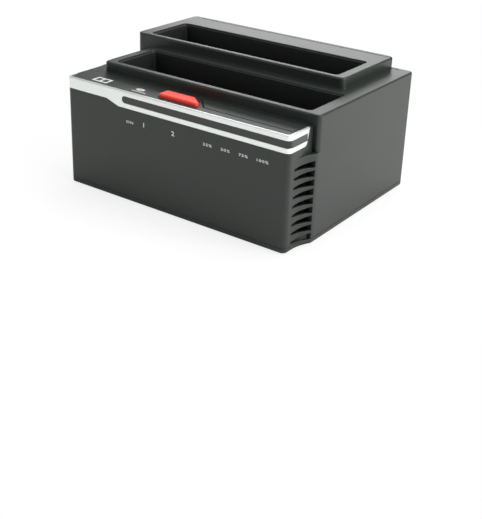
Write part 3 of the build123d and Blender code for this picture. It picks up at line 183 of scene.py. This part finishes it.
def smoked_acrylic(colour):
    # Smoked acrylic, injection moulded: near black and glossy, with the faint waves of a thin part
    material, tree, shader, place = new_material("smoked_acrylic_moulded")
    waves = add_node(tree, "ShaderNodeTexNoise", {"Vector": place}, Scale=1 / (8 * MM), Detail=1.0)
    edge = add_node(tree, "ShaderNodeBevel", samples=4, Radius=0.15 * MM)
    bump = add_node(
        tree,
        "ShaderNodeBump",
        {"Height": waves.outputs["Fac"], "Normal": edge.outputs["Normal"]},
        Strength=0.3,
        Distance=0.03 * MM,
    )
    tree.links.new(bump.outputs["Normal"], shader.inputs["Normal"])
    tint = add_node(tree, "ShaderNodeValToRGB", {"Fac": waves.outputs["Fac"]})
    tint.color_ramp.elements[0].color = (*colour, 1.0)
    tint.color_ramp.elements[1].color = (*[c * 1.3 for c in colour], 1.0)
    tree.links.new(tint.outputs["Color"], shader.inputs["Base Color"])
    shader.inputs["Roughness"].default_value = 0.1
    shader.inputs["Coat Weight"].default_value = 0.2
    return material


def gloss_red_abs(colour):
    # Polished ABS, self-coloured: even, saturated, with a slight orange peel of about 2 mm
    material, tree, shader, place = new_material("red_abs_polished")
    peel = add_node(tree, "ShaderNodeTexNoise", {"Vector": place}, Scale=1 / (2 * MM), Detail=1.0)
    edge = add_node(tree, "ShaderNodeBevel", samples=6, Radius=0.8 * MM)
    bump = add_node(
        tree,
        "ShaderNodeBump",
        {"Height": peel.outputs["Fac"], "Normal": edge.outputs["Normal"]},
        Strength=0.2,
        Distance=0.03 * MM,
    )
    tree.links.new(bump.outputs["Normal"], shader.inputs["Normal"])
    tint = add_node(tree, "ShaderNodeValToRGB", {"Fac": peel.outputs["Fac"]})
    tint.color_ramp.elements[0].color = (*colour, 1.0)
    tint.color_ramp.elements[1].color = (*[min(1.0, c * 1.12) for c in colour], 1.0)
    tree.links.new(tint.outputs["Color"], shader.inputs["Base Color"])
    shader.inputs["Roughness"].default_value = 0.42
    shader.inputs["Specular IOR Level"].default_value = 0.2
    shader.inputs["Coat Weight"].default_value = 0.05
    shader.inputs["Coat Roughness"].default_value = 0.2
    return material


def glass_fibre_board(colour, track_colour):
    # Glass-fibre laminate under solder mask: tracks 0.5 mm wide stand a little proud of the green
    material, tree, shader, place = new_material("fibreglass_solder_mask")
    cells = add_node(tree, "ShaderNodeTexBrick", {"Vector": place}, Scale=1 / (5 * MM))
    cells.inputs["Color1"].default_value = (*colour, 1.0)
    cells.inputs["Color2"].default_value = (*[c * 0.85 for c in colour], 1.0)
    cells.inputs["Mortar"].default_value = (*track_colour, 1.0)
    cells.inputs["Mortar Size"].default_value = 0.05
    tree.links.new(cells.outputs["Color"], shader.inputs["Base Color"])
    bump = add_node(
        tree, "ShaderNodeBump", {"Height": cells.outputs["Fac"]}, Strength=0.3, Distance=0.03 * MM
    )
    tree.links.new(bump.outputs["Normal"], shader.inputs["Normal"])
    shader.inputs["Roughness"].default_value = 0.35
    return material


def printed_ink(name, colour):
    # Pad-printed ink: flat and slightly uneven over the grain of the moulding, with specks of
    # about 0.2 mm
    material, tree, shader, place = new_material(name)
    speckle = add_node(
        tree, "ShaderNodeTexNoise", {"Vector": place}, Scale=1 / (0.2 * MM), Detail=1.0
    )
    cover = add_node(tree, "ShaderNodeValToRGB", {"Fac": speckle.outputs["Fac"]})
    cover.color_ramp.elements[0].color = (*[c * 0.82 for c in colour], 1.0)
    cover.color_ramp.elements[1].color = (*colour, 1.0)
    tree.links.new(cover.outputs["Color"], shader.inputs["Base Color"])
    shader.inputs["Roughness"].default_value = 0.6
    return material


def tinted_lamp_resin():
    # Cast epoxy of an indicator lamp: clear, faintly blue, with the haze of its diffuser
    material, tree, shader, place = new_material("lamp_epoxy_cast")
    haze = add_node(tree, "ShaderNodeTexNoise", {"Vector": place}, Scale=1 / (0.5 * MM))
    tint = add_node(tree, "ShaderNodeValToRGB", {"Fac": haze.outputs["Fac"]})
    tint.color_ramp.elements[0].color = (*linear("#9db4c8"), 1.0)
    tint.color_ramp.elements[1].color = (*linear("#c9d9e6"), 1.0)
    tree.links.new(tint.outputs["Color"], shader.inputs["Base Color"])
    shader.inputs["Roughness"].default_value = 0.12
    shader.inputs["Transmission Weight"].default_value = 0.6
    return material


def dress(names, material):
    """Give CAD nodes a material."""
    for name in names:
        slots = frame["nodes"][name].data.materials
        slots.clear()
        slots.append(material)


def deselect_all():
    if bpy.context.object and bpy.context.object.mode != "OBJECT":
        bpy.ops.object.mode_set(mode="OBJECT")
    bpy.ops.object.select_all(action="DESELECT")


def settle(piece, body, material):
    """Put a finished piece's place into its mesh, and fix it to a CAD body."""
    deselect_all()
    piece.select_set(True)
    bpy.context.view_layer.objects.active = piece
    bpy.ops.object.transform_apply(location=True, rotation=True, scale=True)
    piece.data.materials.clear()
    piece.data.materials.append(material)
    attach(piece, body)


def joined(parts, name):
    """Join several mesh objects into one named piece."""
    deselect_all()
    for part in parts:
        part.select_set(True)
    bpy.context.view_layer.objects.active = parts[0]
    bpy.ops.object.join()
    parts[0].name = name
    return parts[0]


def printed_word(words, centre, height, facing, stretch=1.5):
    """Flat lettering as a mesh, centred on a place, facing front or back."""
    deselect_all()
    turns = {"front": (math.pi / 2, 0, 0), "back": (math.pi / 2, 0, math.pi)}
    bpy.ops.object.text_add(location=centre, rotation=turns[facing])
    word = bpy.context.object
    word.data.body = words
    word.data.size = height / CAPITAL_SHARE
    word.data.align_x = "CENTER"
    word.data.align_y = "CENTER"
    word.data.extrude = INK_THICKNESS
    # Strokes a little thicker than the type's own, and letters further apart
    word.data.offset = height * 0.02
    word.data.resolution_u = 4
    word.data.space_character = 1.2
    word.scale = (stretch, 1, 1)
    bpy.ops.object.convert(target="MESH")
    bpy.ops.object.transform_apply(location=True, rotation=True, scale=True)
    return bpy.context.object


def flat_ring(centre, across, up, width, thickness=SIGN_THICKNESS, corners=4, turn=(0, 0, 0)):
    """A flat frame or ring: a disc stretched to size, inset, emptied and given thickness."""
    deselect_all()
    bpy.ops.mesh.primitive_circle_add(
        vertices=corners, radius=1.0, fill_type="NGON", location=(0, 0, 0)
    )
    ring = bpy.context.object
    # A disc of four corners stands on one of them, so it is turned flat and its sides moved out
    if corners == 4:
        ring.rotation_euler[2] = math.pi / 4
        bpy.ops.object.transform_apply(rotation=True)
        reach = math.sqrt(2)
    else:
        reach = 1.0
    ring.scale = (across / 2 * reach, up / 2 * reach, 1)
    bpy.ops.object.transform_apply(scale=True)
    bpy.ops.object.mode_set(mode="EDIT")
    bpy.ops.mesh.select_all(action="SELECT")
    bpy.ops.mesh.inset(thickness=width)
    bpy.ops.mesh.delete(type="FACE")
    bpy.ops.object.mode_set(mode="OBJECT")
    wall = ring.modifiers.new("wall", "SOLIDIFY")
    wall.thickness = thickness
    wall.offset = 0
    bpy.ops.object.modifier_apply(modifier="wall")
    ring.rotation_euler = turn
    ring.location = centre
    bpy.ops.object.transform_apply(location=True, rotation=True)
    return ring


def flat_bar(centre, size, turn=(0, 0, 0)):
    """A thin printed bar with softened edges."""
    deselect_all()
    bpy.ops.mesh.primitive_cube_add(size=1, location=centre)
    bar = bpy.context.object
    bar.scale = size
    bpy.ops.object.transform_apply(location=False, rotation=False, scale=True)
    corner = bar.modifiers.new("corner", "BEVEL")
    corner.width = min(size) * 0.4
    corner.segments = 2
    bpy.ops.object.modifier_apply(modifier="corner")
    bar.rotation_euler = turn
    bpy.ops.object.transform_apply(location=True, rotation=True)
    return bar


def lay_floor():
    """White paper under the dock, which takes its shadow."""
    deselect_all()
    bpy.ops.mesh.primitive_plane_add(size=FLOOR_SIDE, location=(0, 0, 0))
    floor = bpy.context.object
    floor.name = "studio_floor"
    paper = bpy.data.materials.new("studio_paper_matt")
    paper.use_nodes = True
    tree = paper.node_tree
    shader = tree.nodes["Principled BSDF"]
    shader.inputs["Base Color"].default_value = (*linear("#fbfbfa"), 1.0)
    shader.inputs["Roughness"].default_value = 0.9
    shader.inputs["Specular IOR Level"].default_value = 0.1
    # To the camera the paper is plain white from 200 mm out, and inside that the shadow shows
    place = add_node(tree, "ShaderNodeTexCoord")
    reach = add_node(tree, "ShaderNodeVectorMath", operation="LENGTH")
    tree.links.new(place.outputs["Object"], reach.inputs[0])
    fade = add_node(tree, "ShaderNodeMapRange", {"Value": reach.outputs["Value"]})
    fade.inputs["From Min"].default_value = 70 * MM
    fade.inputs["From Max"].default_value = 200 * MM
    fade.inputs["To Min"].default_value = 0.78
    ray = add_node(tree, "ShaderNodeLightPath")
    seen = add_node(tree, "ShaderNodeMath", operation="MAXIMUM")
    tree.links.new(ray.outputs["Is Camera Ray"], seen.inputs[0])
    tree.links.new(ray.outputs["Is Transmission Ray"], seen.inputs[1])
    share = add_node(tree, "ShaderNodeMath", operation="MULTIPLY")
    tree.links.new(fade.outputs["Result"], share.inputs[0])
    tree.links.new(seen.outputs[0], share.inputs[1])
    glow = add_node(tree, "ShaderNodeEmission", Strength=1.0)
    mix = add_node(tree, "ShaderNodeMixShader")
    tree.links.new(share.outputs[0], mix.inputs[0])
    tree.links.new(shader.outputs[0], mix.inputs[1])
    tree.links.new(glow.outputs[0], mix.inputs[2])
    tree.links.new(mix.outputs[0], tree.nodes["Material Output"].inputs["Surface"])
    floor.data.materials.append(paper)


def light_world(scene):
    """A white world, dimmer as light than it looks to the camera."""
    world = bpy.data.worlds.new("studio_world")
    scene.world = world
    world.use_nodes = True
    tree = world.node_tree
    ray = add_node(tree, "ShaderNodeLightPath")
    seen = add_node(tree, "ShaderNodeMath", operation="MAXIMUM")
    tree.links.new(ray.outputs["Is Camera Ray"], seen.inputs[0])
    tree.links.new(ray.outputs["Is Transmission Ray"], seen.inputs[1])
    fill = add_node(tree, "ShaderNodeMapRange", {"Value": seen.outputs[0]})
    fill.inputs["To Min"].default_value = 0.42
    fill.inputs["To Max"].default_value = 1.0
    tree.links.new(fill.outputs["Result"], tree.nodes["Background"].inputs["Strength"])
    tree.nodes["Background"].inputs["Color"].default_value = (1, 1, 1, 1)


def hang_softboxes(scene):
    """Square softboxes, all turned to the middle of the dock."""
    aim = Vector((0, 0, 30)) * MM
    for name, place, side, watts in SOFTBOXES:
        light = bpy.data.lights.new(name, "AREA")
        light.size = side
        light.energy = watts
        softbox = bpy.data.objects.new(name, light)
        softbox.location = place
        softbox.rotation_mode = "QUATERNION"
        softbox.rotation_quaternion = (aim - softbox.location).to_track_quat("-Z", "Y")
        scene.collection.objects.link(softbox)


def place_camera(scene):
    """The camera where the photograph's stood, with the dock high in the frame."""
    azimuth, elevation = math.radians(35.35), math.radians(19.21)
    distance_mm, roll_degrees = 466.5, 1.875
    target = Vector((-1.2, 1.99, 32.9)) * MM
    back = Vector(
        (
            math.sin(azimuth) * math.cos(elevation),
            -math.cos(azimuth) * math.cos(elevation),
            math.sin(elevation),
        )
    )
    # In pixels of the photograph, whose longer side is its height
    focal_px, rise_px, shift_px, pan_px = 961.5, 143.1, 72.0, 2.2
    height_px, sensor_mm = 519, 36
    camera = bpy.data.objects.new("photo_camera", bpy.data.cameras.new("photo_camera"))
    camera.data.lens = sensor_mm * focal_px / height_px
    camera.data.shift_y = -shift_px / height_px
    camera.data.clip_start = 0.01
    camera.data.clip_end = 20
    scene.collection.objects.link(camera)
    camera.rotation_mode = "QUATERNION"
    camera.location = target + back * distance_mm * MM
    level = (-back).to_track_quat("-Z", "Y").to_matrix()
    tilt = Matrix.Rotation(-math.atan((rise_px - shift_px) / focal_px), 3, "X")
    pan = Matrix.Rotation(-math.atan(pan_px / focal_px), 3, "Y")
    roll = Matrix.Rotation(math.radians(roll_degrees), 3, "Z")
    camera.rotation_quaternion = (level @ roll @ tilt @ pan).to_quaternion()
    scene.camera = camera


class DockColours(bpy.types.PropertyGroup):
    """Colours of the dock's main finishes."""

    charcoal: bpy.props.FloatVectorProperty(
        name="Charcoal",
        description="Moulded plastic of the housing and the bezel",
        subtype="COLOR",
        default=linear("#1d231f"),
    )
    rear_black: bpy.props.FloatVectorProperty(
        name="Rear black",
        description="Rear cover and connector panel",
        subtype="COLOR",
        default=linear("#121413"),
    )
    well_black: bpy.props.FloatVectorProperty(
        name="Well black",
        description="Liners of the two drive wells",
        subtype="COLOR",
        default=linear("#131514"),
    )
    silver: bpy.props.FloatVectorProperty(
        name="Silver",
        description="Lacquer of the trim band",
        subtype="COLOR",
        default=linear("#e0e4e2"),
    )
    window: bpy.props.FloatVectorProperty(
        name="Window",
        description="Smoked indicator window",
        subtype="COLOR",
        default=linear("#0a0b0b"),
    )
    button_red: bpy.props.FloatVectorProperty(
        name="Button red", description="Copy button", subtype="COLOR", default=linear("#e63f34")
    )
    plate_red: bpy.props.FloatVectorProperty(
        name="Plate red",
        description="Plate round the rear sockets",
        subtype="COLOR",
        default=linear("#b01d17"),
    )


class DockMarks(bpy.types.PropertyGroup):
    """Sizes of the printed marks."""

    small_height: bpy.props.FloatProperty(
        name="Small marks",
        description="Height of the small marks",
        unit="LENGTH",
        default=1.2 * MM,
    )
    large_height: bpy.props.FloatProperty(
        name="Large marks",
        description="Height of the bay numbers",
        unit="LENGTH",
        default=2.1 * MM,
    )
    row_height: bpy.props.FloatProperty(
        name="Row height",
        description="Height of the row of marks on the front",
        unit="LENGTH",
        default=39.4 * MM,
    )


class DOCK_OT_casing(bpy.types.Operator):
    """Finish the housing, bezel, base tray and rear cover"""

    bl_idname = "dock.casing"
    bl_label = "Casing"

    def execute(self, context):
        colours = context.scene.dock_colours
        # ABS moulded in a spark-eroded tool: an even, fine, dry sparkle that greys where light
        # grazes it
        shell = moulded_plastic("charcoal_abs_moulded", colours.charcoal, 0.4, edge_mm=0.5)
        dress(["main_housing", "front_bezel", "base_tray"], shell)
        rear = moulded_plastic("black_abs_moulded", colours.rear_black, 0.4, gloss=0.25)
        dress(["rear_cover", "connector_panel"], rear)
        well = moulded_plastic("well_abs_moulded", colours.well_black, 0.5)
        dress(["front_bay_liner", "rear_bay_liner"], well)
        # Soft rubber, compression moulded: dull, with a coarse dusty grain
        rubber = moulded_plastic(
            "rubber_foot_moulded", linear("#1c1c1c"), 0.8, grain_mm=0.5, gloss=0.2
        )
        dress(["rubber_feet"], rubber)
        return {"FINISHED"}


class DOCK_OT_trim(bpy.types.Operator):
    """Finish the silver band, the indicator window and the copy button"""

    bl_idname = "dock.trim"
    bl_label = "Trim, window and button"

    def execute(self, context):
        colours = context.scene.dock_colours
        dress(["trim_band"], silver_painted_abs(colours.silver))
        dress(["indicator_lens"], smoked_acrylic(colours.window))
        dress(["copy_button"], gloss_red_abs(colours.button_red))
        return {"FINISHED"}


class DOCK_OT_sockets(bpy.types.Operator):
    """Finish the red plate, the receptacles and the power switch"""

    bl_idname = "dock.sockets"
    bl_label = "Plate, sockets and switch"

    def execute(self, context):
        colours = context.scene.dock_colours
        # Polycarbonate sheet, screen printed red on its face: even and slightly pearly
        plate = moulded_plastic(
            "red_polycarbonate_printed", colours.plate_red, 0.38, grain_height_mm=0.008, gloss=0.22
        )
        dress(["port_plate"], plate)
        nickel = sheet_metal("nickel_plated_steel_stamped", linear("#b9b6a6"), 0.28, 0.1)
        dress(["data_port_shell", "link_port_shell", "power_jack_pin", "power_jack_leaf"], nickel)
        dress(["switch_terminals", "chip_leads", "lamp_wires"], nickel)
        nylon = moulded_plastic(
            "white_nylon_moulded", linear("#e6e5d6"), 0.45, grain_height_mm=0.01
        )
        dress(["data_port_core", "link_port_base", "ribbon_sockets"], nylon)
        black = moulded_plastic(
            "black_nylon_moulded", linear("#161717"), 0.4, grain_height_mm=0.01
        )
        dress(["power_jack_body", "link_port_core", "push_switch", "switch_plunger"], black)
        dress(["front_drive_socket", "rear_drive_socket"], black)
        frame_finish = moulded_plastic("switch_frame_nylon_moulded", linear("#2c3330"), 0.42)
        dress(["switch_housing"], frame_finish)
        rocker = moulded_plastic(
            "rocker_polycarbonate_moulded", linear("#1d2322"), 0.28, grain_height_mm=0.006
        )
        dress(["switch_rocker"], rocker)
        gold = sheet_metal("gold_plated_bronze_stamped", linear("#d9ae57"), 0.22, 0.1)
        dress(["data_port_contacts", "link_port_contacts"], gold)
        dress(["front_socket_contacts", "rear_socket_contacts"], gold)
        return {"FINISHED"}


class DOCK_OT_boards(bpy.types.Operator):
    """Finish the boards, the parts on them, the cables and the screws"""

    bl_idname = "dock.boards"
    bl_label = "Boards and screws"

    def execute(self, context):
        board = glass_fibre_board(linear("#0d5a2b"), linear("#2f8a4f"))
        dress(["main_board", "front_board"], board)
        epoxy = moulded_plastic("chip_epoxy_moulded", linear("#222225"), 0.55)
        dress(["bridge_chip", "copy_chip", "inductors"], epoxy)
        dress(["capacitors"], sheet_metal("can_aluminium_drawn", linear("#d6d7d8"), 0.3, 0.2))
        dress(["crystal"], sheet_metal("crystal_can_nickel_drawn", linear("#c4c3bd"), 0.25, 0.2))
        dress(["indicator_lamps"], tinted_lamp_resin())
        pvc = moulded_plastic("ribbon_pvc_extruded", linear("#8b8d8f"), 0.5)
        dress(["link_ribbon"], pvc)
        dress(["switch_leads"], moulded_plastic("wire_pvc_extruded", linear("#202020"), 0.45))
        steel = sheet_metal("zinc_plated_steel_cold_headed", linear("#a9abac"), 0.35, 0.15)
        dress(["case_screws", "board_screws", "liner_screws", "front_board_screws"], steel)
        return {"FINISHED"}


class DOCK_OT_front_marks(bpy.types.Operator):
    """Print the plain numbers under the indicator window"""

    bl_idname = "dock.front_marks"
    bl_label = "Front marks"

    def execute(self, context):
        marks = context.scene.dock_marks
        front_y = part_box("front_bezel")[0].y
        low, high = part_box("indicator_lamps")
        spread = high.x - low.x
        # Each mark stands at a share of the way along the row of lamps
        small = (("ON", 0.017), ("25%", 0.604), ("50%", 0.731), ("75%", 0.855), ("100%", 0.983))
        large = (("1", 0.127), ("2", 0.35))
        words = []
        for text, share in small:
            place = (low.x + share * spread, front_y, marks.row_height)
            words.append(printed_word(text, place, marks.small_height, "front"))
        for text, share in large:
            place = (low.x + share * spread, front_y, marks.row_height + marks.large_height / 4)
            words.append(printed_word(text, place, marks.large_height, "front", stretch=1.3))
        ink = printed_ink("white_ink_pad_printed", linear("#dcdedc"))
        settle(joined(words, "front_marks"), "case", ink)
        return {"FINISHED"}


class DOCK_OT_deck_mark(bpy.types.Operator):
    """Print the framed pair of drives and the disc sign on the front deck"""

    bl_idname = "dock.deck_mark"
    bl_label = "Deck mark"

    def execute(self, context):
        low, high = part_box("front_bezel")
        stroke, thin_stroke, lift = 1.1 * MM, 0.6 * MM, 0.01 * MM
        # The two drives: a frame with a bar down its middle
        pair_width, pair_depth, bar_length = 8.9 * MM, 5.4 * MM, 3.6 * MM
        pair = Vector((low.x + 16.9 * MM, low.y + 6.0 * MM, high.z + lift))
        parts = [flat_ring(pair, pair_width, pair_depth, stroke)]
        parts.append(flat_bar(pair, (stroke, bar_length, SIGN_THICKNESS)))
        # The disc: an oval ring with a line in front of it
        disc_width, disc_depth, line_length = 4.8 * MM, 2.8 * MM, 8.0 * MM
        disc = pair + Vector((22.8 * MM, 0.4 * MM, 0))
        parts.append(flat_ring(disc, disc_width, disc_depth, stroke, corners=32))
        line = disc + Vector((1.2 * MM, -2.7 * MM, 0))
        parts.append(flat_bar(line, (line_length, thin_stroke, SIGN_THICKNESS)))
        ink = printed_ink("deck_ink_pad_printed", linear("#dcdedc"))
        settle(joined(parts, "deck_mark"), "case", ink)
        return {"FINISHED"}


class DOCK_OT_rear_marks(bpy.types.Operator):
    """Print the plain marks below the rear sockets"""

    bl_idname = "dock.rear_marks"
    bl_label = "Rear marks"

    def execute(self, context):
        low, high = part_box("port_plate")
        back_y, level = high.y, low.z - 2.4 * MM
        letter_height = 1.5 * MM
        marks = (
            ("ON/OFF", "switch_housing"),
            ("DC IN", "power_jack_body"),
            ("1", "data_port_shell"),
            ("2", "link_port_shell"),
        )
        words = []
        for text, node in marks:
            low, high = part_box(node)
            place = ((low.x + high.x) / 2, back_y, level)
            words.append(printed_word(text, place, letter_height, "back"))
        ink = printed_ink("rear_ink_pad_printed", linear("#dcdedc"))
        settle(joined(words, "rear_marks"), "case", ink)
        return {"FINISHED"}


class DOCK_OT_rocker_marks(bpy.types.Operator):
    """Print the off ring and the on bar on the two halves of the rocker"""

    bl_idname = "dock.rocker_marks"
    bl_label = "Rocker marks"

    def execute(self, context):
        pivot = Vector(next(j["pos_m"] for j in frame["joints"] if j["child"] == "switch_rocker"))
        # At rest the rocker leans. Its face is hollow: its middle is nearer the pivot than its ends
        tilt = math.radians(11)
        half_length, middle_depth, hollow = 5.63 * MM, 1.9 * MM, 0.7 * MM
        tall, ring_stroke, bar_stroke, inlay = 2.5 * MM, 0.4 * MM, 0.45 * MM, 0.12 * MM
        outward = Vector((0, math.cos(tilt), math.sin(tilt)))
        upward = Vector((0, -math.sin(tilt), math.cos(tilt)))
        parts = []
        for height in (3.0 * MM, -3.0 * MM):
            depth = middle_depth + hollow * (height / half_length) ** 2
            spot = pivot + outward * depth + upward * height
            lean = tilt - math.atan(2 * hollow * height / half_length**2)
            turn = (math.pi / 2 - lean, 0, math.pi)
            if height > 0:
                parts.append(flat_ring(spot, tall, tall, ring_stroke, inlay, corners=32, turn=turn))
            else:
                parts.append(flat_bar(spot, (bar_stroke, tall, inlay), turn=turn))
        ink = printed_ink("rocker_ink_pad_printed", linear("#d5dad8"))
        settle(joined(parts, "rocker_marks"), "switch_rocker", ink)
        return {"FINISHED"}


class DOCK_OT_stage(bpy.types.Operator):
    """Make the floor, the lights, the world and the camera"""

    bl_idname = "dock.stage"
    bl_label = "Studio"

    def execute(self, context):
        context.scene.view_settings.view_transform = "Standard"
        lay_floor()
        light_world(context.scene)
        hang_softboxes(context.scene)
        place_camera(context.scene)
        return {"FINISHED"}


class DOCK_PT_panel(bpy.types.Panel):
    """Lists the steps that dress the dock"""

    bl_label = "Drive Dock"
    bl_idname = "DOCK_PT_panel"
    bl_space_type = "VIEW_3D"
    bl_region_type = "UI"
    bl_category = "Drive Dock"

    def draw(self, context):
        for step in STEPS:
            self.layout.operator(step.bl_idname)
        for group in (context.scene.dock_colours, context.scene.dock_marks):
            for name in group.__annotations__:
                self.layout.prop(group, name)


STEPS = (
    DOCK_OT_casing,
    DOCK_OT_trim,
    DOCK_OT_sockets,
    DOCK_OT_boards,
    DOCK_OT_front_marks,
    DOCK_OT_deck_mark,
    DOCK_OT_rear_marks,
    DOCK_OT_rocker_marks,
    DOCK_OT_stage,
)
CLASSES = (DockColours, DockMarks, *STEPS, DOCK_PT_panel)


def register():
    for each in CLASSES:
        bpy.utils.register_class(each)
    bpy.types.Scene.dock_colours = bpy.props.PointerProperty(type=DockColours)
    bpy.types.Scene.dock_marks = bpy.props.PointerProperty(type=DockMarks)


def unregister():
    del bpy.types.Scene.dock_marks
    del bpy.types.Scene.dock_colours
    for each in reversed(CLASSES):
        bpy.utils.unregister_class(each)


def main():
    register()
    bpy.ops.dock.casing()
    bpy.ops.dock.trim()
    bpy.ops.dock.sockets()
    bpy.ops.dock.boards()
    bpy.ops.dock.front_marks()
    bpy.ops.dock.deck_mark()
    bpy.ops.dock.rear_marks()
    bpy.ops.dock.rocker_marks()
    bpy.ops.dock.stage()


if __name__ == "__main__":
    main()
